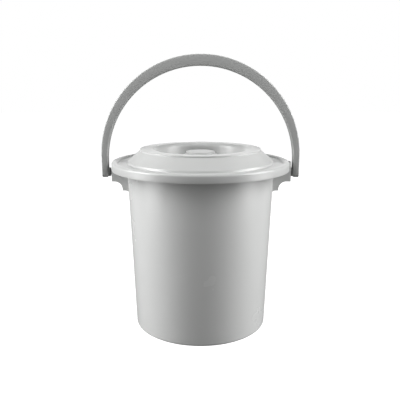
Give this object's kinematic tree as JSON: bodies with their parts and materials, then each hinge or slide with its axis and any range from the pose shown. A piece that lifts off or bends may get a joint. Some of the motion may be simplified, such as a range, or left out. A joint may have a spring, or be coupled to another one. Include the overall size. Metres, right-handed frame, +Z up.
{
  "type": "lidded pail",
  "caption": "Round tapered plastic pail with a flanged rim, a lift-off lid with a recessed knob, and a swinging arched bail handle.",
  "frame": {"origin": "centre of the base, on the ground", "axes": "+Z up along the pail, X along the line that the bail swings about, -Y the front"},
  "size_m": [0.3236, 0.2908, 0.448],
  "materials": {
    "pail_plastic": "moulded light grey polypropylene, satin gloss",
    "lid_plastic": "moulded light grey polypropylene, glossy",
    "bail_plastic": "moulded light grey polypropylene, satin gloss"
  },
  "bodies": {
    "pail": {"pail": "pail_plastic"},
    "lid": {"lid": "lid_plastic", "lid_knob": "lid_plastic"},
    "bail": {"bail_handle": "bail_plastic"}
  },
  "joints": [
    {"name": "bail_swing", "type": "hinge", "parent": "pail", "child": "bail", "pos_m": [0, 0, 0.2592], "axis": [1, 0, 0], "range_deg": [-130, 130]},
    {"name": "lid_lift", "type": "slide", "parent": "pail", "child": "lid", "axis": [0, 0, 1], "range_m": [0, 0.03]}
  ]
}
